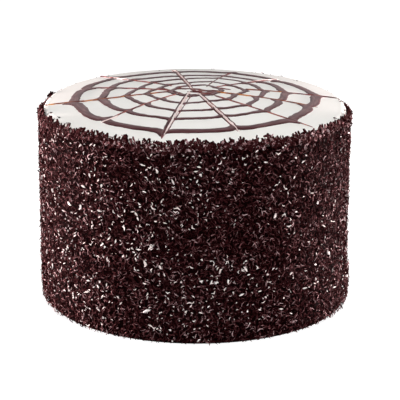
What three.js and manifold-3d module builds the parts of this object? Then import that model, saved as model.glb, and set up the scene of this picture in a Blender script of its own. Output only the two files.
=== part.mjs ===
// A tall round cream cake, whole and uncut. Short dark chocolate shreds coat its side, and a spider
// web of chocolate is drawn in its domed white top: five piped rings, with twelve lines dragged
// through them, outwards and inwards by turns.
// Millimetres, +Z up. The origin is the centre of the flat base, and -Y is the front.
import * as THREE from "three";
import { mergeVertices } from "three/addons/utils/BufferGeometryUtils.js";
import Module from "manifold-3d";

const wasm = await Module();
wasm.setup();

// ---- Driving dimensions ----
const SPONGE_DIAMETER = 203; // baked in an 8 inch tin
const SIDE_CREAM = 7.6; // cream between the sponge and the shreds
const COAT_DEPTH = 1.9; // mean depth of the shreds that are pressed into the cream
const RIM_HEIGHT = 141.2; // base to the edge of the white top
const DOME_RISE = 9.4; // rim to the middle of the top
const TOP_CREAM = 7.2; // depth of the white top at its rim
const SHOULDER = 4.4; // radius of the white top's rounded edge
const SHOULDER_STEPS = 4;
const COLLAR_GAP = 0.6; // between the white top and the coat, which goes on up round it
const BASE_TUCK = 1.6; // how far the side draws in at the base
const TUCK_FADE = 3.5; // height over which most of that tuck is gone
const TOP_SPREAD = 0.7; // how much wider the side is at the top than at the base

const coatRadius = SPONGE_DIAMETER / 2 + SIDE_CREAM + COAT_DEPTH;
const capEdge = coatRadius - COAT_DEPTH - 1; // the white top's widest radius
const seatHeight = RIM_HEIGHT - TOP_CREAM;
const shoulderHeight = domeHeight(capEdge - SHOULDER) - SHOULDER;

// ---- The coat of shreds ----
const COAT_SIDES = 108; // facets round the side
const COAT_BANDS = 22; // bands of facets up the side
const RELIEF = 0.4; // unevenness of the coat above and below its mean surface
const RIDGE_HEIGHT = [1.0, 1.8]; // the raised edges of shreds that lie within the coat
const FRINGE_RISE = 1.8; // how much higher the shreds reach in front, and lower at the back
const FRINGE_RAGGED = 0.8; // how unevenly the coat's top edge ends
const FRINGE_SLOPE = 1.4; // how much lower that edge is outside than inside
const FRINGE_DEPTH = 4; // how far the top edge leans in, over the white top's rounded edge
const FRINGE_ROOT = 3; // how deep below the top edge the standing shreds are rooted
const SHRED_LENGTH = [3.6, 6.4];
const SHRED_THICKNESS = [1.3, 1.8];
const SHRED_STEPS = 2;
const SHRED_TUCK = 0.9; // how deep a shred's ends lie in the coat
const SHRED_ARCH = 3.4; // its curve's middle point above the coat, twice as high as its back
const SIDE_ROWS = 6;
const SHREDS_PER_ROW = 12;
const FRINGE_SHREDS = 50;
const SMALLEST_DETAIL = 0.05; // finer slivers are left out of the joined coat
const SEED = 20417;

// ---- The web in the top ----
const RING_RADII = [16.4, 30.4, 46.1, 62.3, 83.6];
const RING_WIDTHS = [2.6, 3.4, 3.4, 4.8, 7.2];
const WEB_HEIGHT = 0.6; // chocolate above the cream
const EDGE_SLOPE = 0.7; // width of a ring's sloping edge
const HUB_RADIUS = 4.2; // blob where the dragged lines start
const LINE_ANGLES = [9, 40, 70, 101, 133, 162, 188, 223, 256, 289, 320, 346]; // degrees, 0 at +X
const LINE_HALF_WIDTH = 0.9;
const LINE_END = 99; // where the lines that are dragged outwards run out
const DRAG_PULL = 2.6; // how far a dragged line pulls a ring's edge along with it
const DRAG_REACH = 3.4; // how far to each side of the line that pull is felt
const ARC_STATIONS = 3; // points round the arc between two neighbouring lines
// How far each ring is out of true. It bulges once round, by a share of its radius towards an angle
// in degrees, and it is drawn out both ways along a second angle, by another share.
const RING_WANDER = [
  [0.167, 79, 0.093, 29],
  [0.037, 351, 0.095, 37],
  [0.045, 326, 0.049, 42],
  [0.036, 259, 0.038, 25],
  [0.036, 256, 0.016, 27],
];

const radians = THREE.MathUtils.degToRad;
const lerp = THREE.MathUtils.lerp;

// Random numbers from 0 to 1, the same on every run.
function makeRandom(seed) {
  let state = seed;
  return () => {
    state = (state + 0x6d2b79f5) | 0;
    let t = Math.imul(state ^ (state >>> 15), 1 | state);
    t = (t + Math.imul(t ^ (t >>> 7), 61 | t)) ^ t;
    return ((t ^ (t >>> 14)) >>> 0) / 4294967296;
  };
}

// The closed solid of a geometry, for joining.
function solidOf(geometry) {
  const bare = new THREE.BufferGeometry();
  bare.setAttribute("position", geometry.getAttribute("position"));
  bare.setIndex(geometry.index);
  const merged = mergeVertices(bare, 1e-3);
  return new wasm.Manifold(
    new wasm.Mesh({
      numProp: 3,
      vertProperties: merged.attributes.position.array,
      triVerts: new Uint32Array(merged.index.array),
    }),
  );
}

function geometryOf(solid) {
  const mesh = solid.getMesh();
  const geometry = new THREE.BufferGeometry();
  geometry.setAttribute("position", new THREE.BufferAttribute(mesh.vertProperties, 3));
  geometry.setIndex(new THREE.BufferAttribute(mesh.triVerts, 1));
  return geometry;
}

function finish(geometry, colour, roughness, name) {
  geometry.computeVertexNormals();
  const material = new THREE.MeshStandardMaterial({ color: colour, roughness, metalness: 0 });
  material.flatShading = true;
  const mesh = new THREE.Mesh(geometry, material);
  mesh.name = name;
  return mesh;
}

// ---- coated_cake: the cake, with its side's shreds fused on ----

// Mean radius of the coated side at a height: tucked in at the base, and a little wider at the top.
function sideRadius(height) {
  const tuck = BASE_TUCK * Math.exp(-height / TUCK_FADE);
  return coatRadius - TOP_SPREAD + (TOP_SPREAD * height) / RIM_HEIGHT - tuck;
}

// How far the coat's top edge lies above the rim, at an angle from the front.
function fringeLift(fromFront) {
  return FRINGE_RISE * Math.cos(fromFront);
}

// Inner radius of the collar of shreds at a height: it follows the white top's wall and shoulder.
function collarInside(height) {
  const over = Math.max(height - shoulderHeight, 0);
  const reach = SHOULDER + COLLAR_GAP;
  const followed = capEdge - SHOULDER + Math.sqrt(Math.max(reach ** 2 - over ** 2, 0));
  return Math.max(followed, coatRadius - FRINGE_DEPTH);
}

// The plain cake turned on its axis, from the base up to a flat seat for the white cream. The
// seat has a collar round it, where the coat goes on up beside the cream.
function turnedCake() {
  const profile = [new THREE.Vector2(0, 0)];
  for (let band = 0; band <= COAT_BANDS; band++) {
    const height = ((RIM_HEIGHT - FRINGE_SLOPE) * band) / COAT_BANDS;
    profile.push(new THREE.Vector2(sideRadius(height), height));
  }
  profile.push(new THREE.Vector2(collarInside(RIM_HEIGHT), RIM_HEIGHT));
  profile.push(new THREE.Vector2(collarInside(shoulderHeight), shoulderHeight));
  profile.push(new THREE.Vector2(collarInside(seatHeight), seatHeight));
  profile.push(new THREE.Vector2(0, seatHeight));
  return { geometry: new THREE.LatheGeometry(profile, COAT_SIDES), rows: profile.length };
}

// How far each point of the side stands out. In each small block of points, two neighbours are
// raised as the edge of one shred, lying along the side, up it or aslant.
function coatRelief(bands, random) {
  const relief = Array.from({ length: COAT_SIDES }, () =>
    Array.from({ length: bands }, () => (random() * 2 - 1) * RELIEF),
  );
  const ways = [[1, 0], [0, 1], [1, 1], [1, -1]];
  for (let side = 0; side < COAT_SIDES; side += 2) {
    for (let band = 1; band < bands - 1; band += 3) {
      const first = band + Math.floor(random() * 2);
      const [across, up] = ways[Math.floor(random() * ways.length)];
      const height = lerp(...RIDGE_HEIGHT, random());
      relief[side][first] = height;
      relief[(side + across) % COAT_SIDES][first + up] = height;
    }
  }
  return relief;
}

// Gives the turned cake the coat's relief and ragged top edge. The base's edge, the seat and the
// axis stay true.
function roughen({ geometry, rows }, random) {
  const position = geometry.getAttribute("position");
  const firstBand = 2;
  const topBand = rows - 5;
  const relief = coatRelief(topBand - firstBand + 1, random);
  const ragged = relief.map(() => (random() * 2 - 1) * FRINGE_RAGGED);
  for (let side = 0; side <= COAT_SIDES; side++) {
    const lift = fringeLift((side / COAT_SIDES) * Math.PI * 2) + ragged[side % COAT_SIDES];
    for (let row = firstBand; row <= topBand + 1; row++) {
      const index = side * rows + row;
      const x = position.getX(index);
      const z = position.getZ(index);
      const height = position.getY(index) + (row >= topBand ? lift : 0);
      const radius = Math.hypot(x, z);
      const out = row <= topBand ? relief[side % COAT_SIDES][row - firstBand] : 0;
      const scale = (row > topBand ? collarInside(height) : radius + out) / radius;
      position.setXYZ(index, x * scale, height, z * scale);
    }
  }
  geometry.rotateX(Math.PI / 2);
  return geometry;
}

// One shred: a short three-sided bar, bent along a curve through three points.
function shredAlong(start, middle, end, thickness) {
  const half = thickness / 2;
  const section = new THREE.Shape([
    new THREE.Vector2(-half, -half * 0.7),
    new THREE.Vector2(half, -half * 0.7),
    new THREE.Vector2(0, half),
  ]);
  return new THREE.ExtrudeGeometry(section, {
    steps: SHRED_STEPS,
    bevelEnabled: false,
    extrudePath: new THREE.QuadraticBezierCurve3(start, middle, end),
  });
}

// A shred that lies on the side, bowed, with both of its ends tucked into the coat.
function sideShred(angle, height, random) {
  const outward = new THREE.Vector3(Math.cos(angle), Math.sin(angle), 0);
  const round = new THREE.Vector3(-Math.sin(angle), Math.cos(angle), 0);
  const lie = (random() - 0.5) * Math.PI;
  const along = round.clone().multiplyScalar(Math.cos(lie));
  along.z = Math.sin(lie);
  const across = new THREE.Vector3().crossVectors(outward, along);
  const length = lerp(...SHRED_LENGTH, random() ** 1.5);
  const thickness = lerp(...SHRED_THICKNESS, random());
  const surface = outward.clone().multiplyScalar(sideRadius(height)).setZ(height);
  const point = (share, out, bow) =>
    surface
      .clone()
      .addScaledVector(along, share * length)
      .addScaledVector(outward, out)
      .addScaledVector(across, bow);
  const bow = (random() - 0.5) * length * 0.5;
  const start = point(-0.5, -SHRED_TUCK, -bow);
  const end = point(0.5, -SHRED_TUCK, -bow);
  return shredAlong(start, point(0, SHRED_ARCH, bow), end, thickness);
}

// A shred that stands in the fringe at the coat's top edge, with its tip leaning one way.
function fringeShred(fromFront, random) {
  const outward = new THREE.Vector3(Math.sin(fromFront), -Math.cos(fromFront), 0);
  const round = new THREE.Vector3(Math.cos(fromFront), Math.sin(fromFront), 0);
  const thickness = lerp(...SHRED_THICKNESS, random());
  const lean = (random() - 0.5) * FRINGE_ROOT;
  const foot = outward.clone().multiplyScalar(coatRadius - thickness / 2);
  foot.z = RIM_HEIGHT + fringeLift(fromFront) - FRINGE_ROOT;
  const bend = foot.clone().addScaledVector(round, lean / 4);
  bend.z += FRINGE_ROOT * lerp(0.5, 1.1, random());
  const tip = bend.clone().addScaledVector(round, lean).addScaledVector(outward, thickness / 4);
  tip.z += thickness / 2;
  return shredAlong(foot, bend, tip, thickness);
}

function coatedCake() {
  const random = makeRandom(SEED);
  const pieces = [solidOf(roughen(turnedCake(), random))];
  const jitter = () => random() - 0.5;
  for (let row = 0; row < SIDE_ROWS; row++) {
    for (let place = 0; place < SHREDS_PER_ROW; place++) {
      const turn = (place + (row % 2) / 2 + jitter() * 0.7) / SHREDS_PER_ROW;
      const height = ((row + 0.5 + jitter() * 0.6) / SIDE_ROWS) * (RIM_HEIGHT - FRINGE_DEPTH);
      pieces.push(solidOf(sideShred(turn * Math.PI * 2, height, random)));
    }
  }
  for (let place = 0; place < FRINGE_SHREDS; place++) {
    const turn = (place + jitter() * 0.8) / FRINGE_SHREDS;
    pieces.push(solidOf(fringeShred(turn * Math.PI * 2, random)));
  }
  const joined = wasm.Manifold.union(pieces).simplify(SMALLEST_DETAIL);
  return finish(geometryOf(joined), "#3a211f", 0.62, "coated_cake");
}

// ---- cream_top: the domed white top, with the chocolate web fused on ----

function domeHeight(radius) {
  return RIM_HEIGHT + DOME_RISE * (1 - (radius / capEdge) ** 2);
}

// A ring's middle radius at an angle, a little out of true, as piped by hand.
function ringRadius(ring, angle) {
  const [once, onceAt, twice, twiceAt] = RING_WANDER[ring];
  const first = once * Math.cos(angle - radians(onceAt));
  const second = twice * Math.cos(2 * (angle - radians(twiceAt)));
  return RING_RADII[ring] * (1 + first + second);
}

// How far the dragged lines move the chocolate at an angle: outwards is positive.
function dragAt(angle, radius) {
  let pull = 0;
  LINE_ANGLES.forEach((degrees, line) => {
    const turn = Math.atan2(Math.sin(angle - radians(degrees)), Math.cos(angle - radians(degrees)));
    const way = line % 2 === 0 ? 1 : -1;
    pull += way * DRAG_PULL * Math.exp(-Math.abs(turn * radius) / DRAG_REACH);
  });
  return pull;
}

// The points round the top, in order: each line's two feet and its crest, then the arc to the next.
// around() gives such a point's angle at a radius, because a line keeps its width as it runs out.
function anglesRound() {
  const stops = [];
  LINE_ANGLES.forEach((degrees, line) => {
    const here = radians(degrees);
    const next = radians(LINE_ANGLES[(line + 1) % LINE_ANGLES.length]);
    const gap = (next - here + Math.PI * 2) % (Math.PI * 2);
    const foot = (radius) => Math.min(LINE_HALF_WIDTH / Math.max(radius, 1), gap * 0.3);
    stops.push({ line, crest: true, around: () => here });
    stops.push({ line, crest: false, around: (radius) => here + foot(radius) });
    for (let step = 1; step <= ARC_STATIONS; step++) {
      const share = step / (ARC_STATIONS + 1);
      const around = (radius) => here + foot(radius) + (gap - 2 * foot(radius)) * share;
      stops.push({ line, crest: false, around });
    }
    stops.push({ line, crest: false, around: (radius) => here + gap - foot(radius) });
  });
  return stops;
}

// The points from the middle of the top to its rim. Each gives a radius at an angle, and whether
// chocolate covers it. A ring has four: the feet and the crests of its inner and outer edges.
function stationsOut() {
  const stations = [
    { radius: () => HUB_RADIUS, raised: true },
    { radius: () => HUB_RADIUS + EDGE_SLOPE, raised: false },
  ];
  RING_RADII.forEach((_, ring) => {
    const half = RING_WIDTHS[ring] / 2;
    [-half - EDGE_SLOPE, -half, half, half + EDGE_SLOPE].forEach((offset, step) => {
      const radius = (angle) => {
        const middle = ringRadius(ring, angle);
        const along = Math.sign(offset) * dragAt(angle, middle);
        return middle + offset + (along > 0 ? Math.sign(offset) * along : 0);
      };
      stations.push({ radius, raised: step === 1 || step === 2 });
    });
  });
  stations.push({ radius: () => LINE_END, raised: false });
  return stations;
}

// The plain rim outside the web, from its foot up: the edge and the shoulder's curve.
function rimProfile() {
  const profile = [new THREE.Vector2(capEdge, seatHeight)];
  for (let step = 0; step <= SHOULDER_STEPS; step++) {
    const turn = (step / SHOULDER_STEPS) * (Math.PI / 2);
    const radius = capEdge - (1 - Math.cos(turn)) * SHOULDER;
    profile.push(new THREE.Vector2(radius, shoulderHeight + Math.sin(turn) * SHOULDER));
  }
  return profile;
}

// A line is raised from the hub to its end: lines dragged inwards start at the outermost ring.
function lineCovers(stop, radius) {
  const outer = ringRadius(RING_RADII.length - 1, stop.around(radius));
  const end = stop.line % 2 === 0 ? LINE_END - 1 : outer + 2;
  return stop.crest && radius < end;
}

function creamTop() {
  const stops = anglesRound();
  const stations = stationsOut().reverse();
  const rim = rimProfile();
  const rows = 1 + rim.length + stations.length + 1;
  const blank = Array.from({ length: rows }, (_, row) => new THREE.Vector2(1, row));
  const geometry = new THREE.LatheGeometry(blank, stops.length);
  const position = geometry.getAttribute("position");
  for (let column = 0; column <= stops.length; column++) {
    const stop = stops[column % stops.length];
    const points = [new THREE.Vector3(0, 0, seatHeight)];
    for (const { x: radius, y: height } of rim) {
      const angle = stop.around(radius);
      points.push(new THREE.Vector3(radius * Math.cos(angle), radius * Math.sin(angle), height));
    }
    for (const station of stations) {
      const angle = stop.around(station.radius(stop.around(RING_RADII[2])));
      const radius = station.radius(angle);
      const raised = station.raised || lineCovers(stop, radius);
      const height = domeHeight(radius) + (raised ? WEB_HEIGHT : 0);
      points.push(new THREE.Vector3(radius * Math.cos(angle), radius * Math.sin(angle), height));
    }
    points.push(new THREE.Vector3(0, 0, domeHeight(0) + WEB_HEIGHT));
    points.forEach(({ x, y, z }, row) => position.setXYZ(column * rows + row, x, y, z));
  }
  return finish(geometry, "#ece8e2", 0.4, "cream_top");
}

const cake = new THREE.Group();
cake.add(coatedCake());
cake.add(creamTop());

export default cake;
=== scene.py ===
"""A tall cream cake: grated dark chocolate pressed round its side, and a chocolate web on its top.

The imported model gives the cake's size. Every visible piece is made here over it: the bed of fine
crumbs on the side, the shreds, curls and flakes in their thousands, the flecks of cream that show
between them, the domed white top, and the piped rings and dragged lines of the web.
"""

import math

import bmesh
import bpy
import numpy as np
from mathutils import Euler, Matrix, Vector, kdtree, noise


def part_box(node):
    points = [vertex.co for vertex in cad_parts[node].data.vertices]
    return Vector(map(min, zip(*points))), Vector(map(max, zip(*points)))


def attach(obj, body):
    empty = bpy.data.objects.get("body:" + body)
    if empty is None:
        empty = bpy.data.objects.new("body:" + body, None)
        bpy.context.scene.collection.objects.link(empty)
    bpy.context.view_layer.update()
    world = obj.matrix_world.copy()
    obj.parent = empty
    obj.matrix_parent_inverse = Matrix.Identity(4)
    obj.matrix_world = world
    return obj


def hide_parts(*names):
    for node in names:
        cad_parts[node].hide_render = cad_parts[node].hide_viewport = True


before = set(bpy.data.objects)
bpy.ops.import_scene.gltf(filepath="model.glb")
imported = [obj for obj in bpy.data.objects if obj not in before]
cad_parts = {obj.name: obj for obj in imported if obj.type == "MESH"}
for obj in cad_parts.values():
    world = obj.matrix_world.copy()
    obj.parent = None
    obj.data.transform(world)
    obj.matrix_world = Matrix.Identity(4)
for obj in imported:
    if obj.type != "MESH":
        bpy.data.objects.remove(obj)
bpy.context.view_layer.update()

MM = 0.001
FULL_TURN = 2 * math.pi

# ---- The cake's form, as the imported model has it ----
# Angles in degrees run anticlockwise from +X, seen from above.
FRONT = -90
coat_low, coat_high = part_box("coated_cake")
cap_low, cap_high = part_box("cream_top")
DOME_RISE = 9.4 * MM  # rim to the middle of the white top
WEB_HEIGHT = 0.6 * MM  # chocolate above the cream
SHOULDER = 4.4 * MM  # radius of the white top's rounded edge
RIDGES = 1.6 * MM  # how far the solid's highest shreds stand above its mean surface
SIDE_CREAM = 2.9 * MM  # mean surface of the coat outside the white top's edge
TUCK = 0.9 * MM  # how far the side draws in at the base
TUCK_FADE = 3.5 * MM
SPREAD = 0.7 * MM  # how much wider the side is at the top
# The shreds' mean top edge, in mm above the white top's rim, at angles in degrees from the front.
EDGE_ANGLES = [0, 40, 70, 82, 88, 94, 110, 180]
EDGE_RISES = [3.0, 2.3, 0.7, -0.8, -2.4, -4.8, -5.4, -5.4]
# Tufts that stand up from it: angle and spread in degrees, height in mm.
TUFTS = [(163, 3.0, 4.6), (2, 3, 0.8)]
# Low on its right the coat slipped a little and stands out: how far, where and how widely.
BULGE = 2.6 * MM
BULGE_ANGLE, BULGE_SPREAD = -22, 42
BULGE_TOP = 27 * MM
BULGE_FADE = 3 * MM

COAT_RADIUS = (coat_high.x - coat_low.x) / 2 - RIDGES
CAP_EDGE = COAT_RADIUS - SIDE_CREAM
SEAT = cap_low.z
RIM = cap_high.z - WEB_HEIGHT - DOME_RISE


def turn_from(angle, degrees):
    """How far angles in radians lie from one in degrees, the short way round, in radians."""
    return np.angle(np.exp(1j * (angle - math.radians(degrees))))


def bell(angle, degrees, spread):
    """A smooth bump round the cake: 1 at an angle in degrees, fading over a spread in degrees."""
    return np.exp(-((np.degrees(turn_from(angle, degrees)) / spread) ** 2))


def side_radius(height):
    """Mean radius of the coated side."""
    return COAT_RADIUS - SPREAD + SPREAD * height / RIM - TUCK * np.exp(-height / TUCK_FADE)


def bulge(angle, height):
    """How far the coat has slipped outwards, low on the right."""
    fade = 1 / (1 + np.exp((height - BULGE_TOP) / BULGE_FADE))
    return BULGE * bell(angle, BULGE_ANGLE, BULGE_SPREAD) * fade


def fringe_lift(angle):
    """How far the shreds' top edge lies above the rim: most in front."""
    rise = np.interp(np.degrees(np.abs(turn_from(angle, FRONT))), EDGE_ANGLES, EDGE_RISES)
    for degrees, spread, height in TUFTS:
        rise = rise + height * bell(angle, degrees, spread)
    return rise * MM


def dome_height(radius):
    """Surface of the white top."""
    return RIM + DOME_RISE * (1 - (radius / CAP_EDGE) ** 2)


SHOULDER_HEIGHT = dome_height(CAP_EDGE - SHOULDER) - SHOULDER


# ---- Materials ----
def srgb(code):
    """Linear colour of an sRGB hex code."""
    parts = [int(code[i : i + 2], 16) / 255 for i in (1, 3, 5)]
    return [p / 12.92 if p <= 0.04045 else ((p + 0.055) / 1.055) ** 2.4 for p in parts] + [1.0]


def feed(node, inputs):
    """Sets a node's inputs. Each is a plain value, or an output to link, or a node whose first
    output is linked."""
    for name, value in inputs.items():
        if isinstance(value, bpy.types.Node):
            value = value.outputs[0]
        if isinstance(value, bpy.types.NodeSocket):
            node.id_data.links.new(value, node.inputs[name])
        else:
            node.inputs[name].default_value = value


def add_node(owner, kind, inputs=None, **settings):
    """Adds a node to a material or the world, with its settings and inputs."""
    node = owner.node_tree.nodes.new("ShaderNode" + kind)
    for name, value in settings.items():
        setattr(node, name, value)
    feed(node, inputs or {})
    return node


def new_material(name, inputs):
    """A Principled material. Returns it with its shader."""
    material = bpy.data.materials.new(name)
    material.use_nodes = True
    shader = material.node_tree.nodes["Principled BSDF"]
    feed(shader, inputs)
    return material, shader


def set_ramp(node, stops):
    """Gives a colour ramp its stops: (place, hex code)."""
    ramp = node.color_ramp
    while len(ramp.elements) < len(stops):
        ramp.elements.new(1.0)
    for element, (place, code) in zip(ramp.elements, stops):
        element.position = place
        element.color = srgb(code)


TONE_MAP = "OFBake"  # each shred lies on this map by its own tone, so its colour is one flat read
MOTTLE_GRAIN = (50, 5, 1)  # mottles on that map: 50 across all its tones, 5 along a shred
MOTTLE = 0.9  # how strongly they change a shred's tone
MOTTLE_MIDDLE = 0.46
GRATED_TONES = [(0, "#180204"), (0.3, "#24090a"), (0.5, "#371618")]
GRATED_TONES += [(0.68, "#573033"), (0.84, "#835b5d"), (1, "#c2a7a9")]


def grated_chocolate():
    """Dark couverture, grated: dull cut faces with a low sheen where the knife drew the fat out.

    No two shreds have quite one tone. Across the tone map the colour runs from the darkest shred
    to the palest, and along it a mottle breaks up each shred.
    """
    inputs = {"Roughness": 0.5, "IOR": 1.46, "Specular IOR Level": 0.02}
    inputs["Specular Tint"] = srgb("#dc8c8e")
    material, shader = new_material("dark chocolate, grated", inputs)
    place = add_node(material, "UVMap", uv_map=TONE_MAP)
    grain = add_node(material, "VectorMath", {0: place, 1: MOTTLE_GRAIN}, operation="MULTIPLY")
    inputs = {"Vector": grain, "Scale": 1.0, "Detail": 2.0}
    mottle = add_node(material, "TexNoise", inputs, noise_dimensions="2D")
    own = add_node(material, "SeparateXYZ", {"Vector": place}).outputs["X"]
    shifted = add_node(material, "Math", {0: mottle, 1: MOTTLE, 2: own}, operation="MULTIPLY_ADD")
    tone = add_node(material, "Math", {0: shifted, 1: MOTTLE_MIDDLE}, operation="SUBTRACT")
    ramp = add_node(material, "ValToRGB", {"Fac": tone})
    set_ramp(ramp, GRATED_TONES)
    feed(shader, {"Base Color": ramp})
    return material


def cloud(material, shader, size, stops):
    """Lets a material's colour vary in soft clouds of a size."""
    place = add_node(material, "TexCoord").outputs["Object"]
    clouds = add_node(material, "TexNoise", {"Vector": place, "Scale": 1 / size, "Detail": 3.0})
    ramp = add_node(material, "ValToRGB", {"Fac": clouds})
    set_ramp(ramp, stops)
    feed(shader, {"Base Color": ramp})


def roughen(material, shader, size, detail, strength, depth):
    """Gives a material's surface bumps of a size."""
    place = add_node(material, "TexCoord").outputs["Object"]
    bumps = add_node(material, "TexNoise", {"Vector": place, "Scale": 1 / size, "Detail": detail})
    inputs = {"Height": bumps, "Strength": strength, "Distance": depth}
    feed(shader, {"Normal": add_node(material, "Bump", inputs)})


CRUMB_SIZE = 1.4 * MM


def shaded_crumb_chocolate():
    """Fine crumbs pressed flat in the cream below the shreds, darkened nearly to black as painted
    shade in the gaps between them.
    """
    inputs = {"Roughness": 0.8, "IOR": 1.45, "Specular IOR Level": 0.02}
    material, shader = new_material("chocolate crumb, painted gap shade", inputs)
    # painted shade: darker than any shred, so that the gaps read as shadow
    cloud(material, shader, CRUMB_SIZE, [(0.35, "#080001"), (0.6, "#140404"), (0.75, "#200a0b")])
    roughen(material, shader, CRUMB_SIZE, 3.0, 0.8, 0.5 * MM)
    return material


PORE_SIZE = 2.5 * MM  # coarser than the cream's real pores, which are too fine to show


def set_cream(name, pale, deep, patch, roughness):
    """Whipped cream icing, smoothed with a palette knife: ivory, satin, with faint knife marks."""
    material, shader = new_material(name, {"Roughness": roughness, "IOR": 1.45})
    cloud(material, shader, patch, [(0.3, deep), (0.7, pale)])
    roughen(material, shader, PORE_SIZE, 4.0, 0.25, 0.2 * MM)
    return material


GLAZE_PATCH = 9 * MM  # how far its thicker and thinner places lie apart
GLAZE = {"IOR": 1.47, "Specular IOR Level": 0.35}


def piped_chocolate(name, stops, roughness):
    """Set chocolate glaze: smooth and satin, paler and redder where it lies thin over the cream."""
    material, shader = new_material(name, {**GLAZE, "Roughness": roughness})
    cloud(material, shader, GLAZE_PATCH, stops)
    return material


BAND_MAP = "across the band"
STREAK_WIDTH = 1.5 * MM
STREAKS_ROUND = (7, 7, 0)  # how often the nozzle's streaks change round a ring
# painted shade: how much darker a ring's edges are
EDGE_PAINTED_SHADE = -0.9
# painted sheen: how much paler a ring is at the cake's left and right sides
SIDE_PAINTED_SHEEN = 0.12
BAND_TONES = [(0.25, "#3c1416"), (0.4, "#4a2225"), (0.52, "#563235")]
BAND_TONES += [(0.66, "#6b4849"), (0.9, "#8c6666")]


def banded_chocolate():
    """Chocolate glaze piped in a ring: satin, streaked along by the nozzle, with painted shade
    darkening its edges and a painted sheen paling it at the cake's sides.
    """
    material, shader = new_material("chocolate glaze, piped", {**GLAZE, "Roughness": 0.34})
    place = add_node(material, "TexCoord").outputs["Object"]
    flat = add_node(material, "VectorMath", {0: place, 1: (1, 1, 0)}, operation="MULTIPLY")
    way = add_node(material, "VectorMath", {0: flat}, operation="NORMALIZE")
    out = add_node(material, "VectorMath", {0: flat}, operation="LENGTH").outputs["Value"]
    streak = add_node(material, "Math", {0: out, 1: STREAK_WIDTH}, operation="DIVIDE")
    rise = add_node(material, "CombineXYZ", {"Z": streak})
    inputs = {0: way, 1: STREAKS_ROUND, 2: rise}
    along = add_node(material, "VectorMath", inputs, operation="MULTIPLY_ADD")
    streaks = add_node(material, "TexNoise", {"Vector": along, "Scale": 1.0, "Detail": 3.0})
    band = add_node(material, "UVMap", uv_map=BAND_MAP)
    across = add_node(material, "SeparateXYZ", {"Vector": band})
    # painted shade: the farther from the band's middle, the darker
    middle = add_node(material, "Math", {0: across.outputs["X"], 1: 0.5}, operation="SUBTRACT")
    edge = add_node(material, "Math", {0: middle, 1: middle}, operation="MULTIPLY")
    inputs = {0: edge, 1: EDGE_PAINTED_SHADE, 2: streaks}
    tone = add_node(material, "Math", inputs, operation="MULTIPLY_ADD")
    # painted sheen: paler at the cake's sides, where the side lamps graze the glaze
    inputs = {0: across.outputs["Y"], 1: SIDE_PAINTED_SHEEN, 2: tone}
    thin = add_node(material, "Math", inputs, operation="MULTIPLY_ADD")
    ramp = add_node(material, "ValToRGB", {"Fac": thin})
    set_ramp(ramp, BAND_TONES)
    feed(shader, {"Base Color": ramp})
    return material


# ---- Making meshes ----
NEAR_AXIS = 0.001 * MM  # where a turned piece closes, before its points there are merged


def deselect():
    """Leaves nothing selected."""
    bpy.ops.object.select_all(action="DESELECT")


def take(name):
    """The object that the last operator made, renamed."""
    made = bpy.context.object
    made.name = made.data.name = name
    return made


def points_of(mesh):
    """A mesh's points, as rows of x, y and z."""
    flat = np.empty(len(mesh.vertices) * 3)
    mesh.vertices.foreach_get("co", flat)
    return flat.reshape(-1, 3)


def move_points(mesh, points):
    """Moves a mesh's points to new places."""
    mesh.vertices.foreach_set("co", points.ravel())
    mesh.update()


def basic(add, name="shape", **settings):
    """Adds a basic shape with an operator. Returns it with its points."""
    deselect()
    add(**settings)
    piece = take(name)
    return piece, points_of(piece.data)


def finish(piece, material, slot, *nodes, smooth=True):
    """Dresses a finished piece, says what it rides on, and hides the imported parts that it
    replaces.
    """
    deselect()
    piece.select_set(True)
    bpy.context.view_layer.objects.active = piece
    piece.data.materials.clear()
    piece.data.materials.append(material)
    if smooth:
        bpy.ops.object.shade_smooth()
    else:
        bpy.ops.object.shade_flat()
    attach(piece, "root")
    if nodes:
        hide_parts(*nodes)


def turned(name, profile, steps):
    """A closed piece turned on the cake's axis. Its profile is (radius, height), from the middle
    of the base outwards, up and back to the axis."""
    radius, height = profile[1]
    start = {"vertices": steps, "radius": radius, "location": (0, 0, height)}
    piece, _ = basic(bpy.ops.mesh.primitive_circle_add, name, fill_type="TRIFAN", **start)
    bpy.ops.object.transform_apply()
    bpy.ops.object.mode_set(mode="EDIT")
    work = bmesh.from_edit_mesh(piece.data)
    for point in work.verts:
        point.select = bool(point.co.xy.length > radius / 2)
    work.select_flush_mode()
    bmesh.update_edit_mesh(piece.data)
    for next_radius, next_height in profile[2:]:
        move = {"value": (0, 0, next_height - height)}
        bpy.ops.mesh.extrude_region_move(TRANSFORM_OT_translate=move)
        next_radius = max(next_radius, NEAR_AXIS)
        grown = next_radius / radius
        bpy.ops.transform.resize(value=(grown, grown, 1), center_override=(0, 0, 0))
        radius, height = next_radius, next_height
    bpy.ops.mesh.select_all(action="SELECT")
    bpy.ops.mesh.remove_doubles(threshold=2 * NEAR_AXIS)
    bpy.ops.mesh.normals_make_consistent(inside=False)
    bpy.ops.object.mode_set(mode="OBJECT")
    return piece


def polar(points):
    """Angles and radii of points round the cake's axis."""
    return np.arctan2(points[:, 1], points[:, 0]), np.hypot(points[:, 0], points[:, 1])


def spots(angle, radius, height):
    """Points at angles round the cake's axis, at radii and heights."""
    parts = radius * np.cos(angle), radius * np.sin(angle), height
    return np.stack(np.broadcast_arrays(*parts), -1)


def noise_at(points):
    """Smooth noise, from about -1 to 1, at each point."""
    return np.array([noise.noise(point) for point in points])


def roughness_at(points, grains):
    """How far a surface stands out or in. Each grain has a size and a height."""
    return sum(height * noise_at(points / size) for size, height in grains)


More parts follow.
